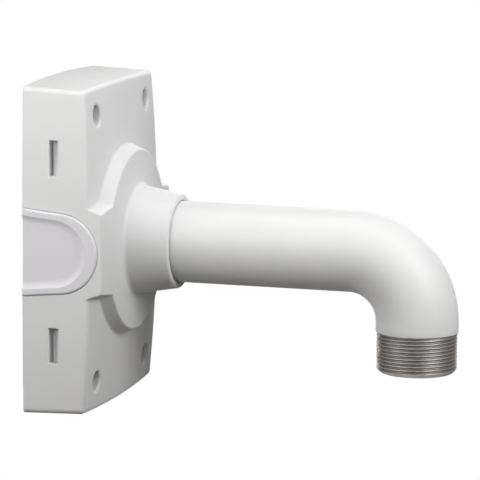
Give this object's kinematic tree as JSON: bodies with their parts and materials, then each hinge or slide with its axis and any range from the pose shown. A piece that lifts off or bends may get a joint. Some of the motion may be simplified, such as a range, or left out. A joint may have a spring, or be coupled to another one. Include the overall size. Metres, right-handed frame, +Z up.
{
  "type": "camera wall bracket",
  "caption": "White wall bracket for a security camera: domed cast wall box with side covers and strap slots, and a bent tube arm with a pipe thread at its end.",
  "frame": {"origin": "on the axis of the tube, in the plane of the wall, at the centre of the four wall screws", "axes": "+X leaves the wall along the level part of the arm, +Y is the right side seen by someone who faces the wall, +Z is up"},
  "size_m": [0.2478, 0.1364, 0.1982],
  "materials": {
    "cast_white": "fine powder coat, satin",
    "tube_white": "fine powder coat, satin",
    "bare_aluminium": "turned and welded, unpainted",
    "black_rubber": "matt",
    "zinc_steel": "bright zinc plate",
    "cover_plastic": "fine moulded texture, cool white"
  },
  "bodies": {
    "root": {"wall_housing": "cast_white", "arm_tube": "tube_white", "arm_flange": "bare_aluminium", "flange_gasket": "black_rubber", "flange_screws": "zinc_steel", "flange_washers": "zinc_steel", "collar_seal": "black_rubber", "side_cover_left": "cover_plastic", "side_cover_right": "cover_plastic", "earth_screw": "zinc_steel", "earth_washer": "zinc_steel"}
  },
  "joints": []
}
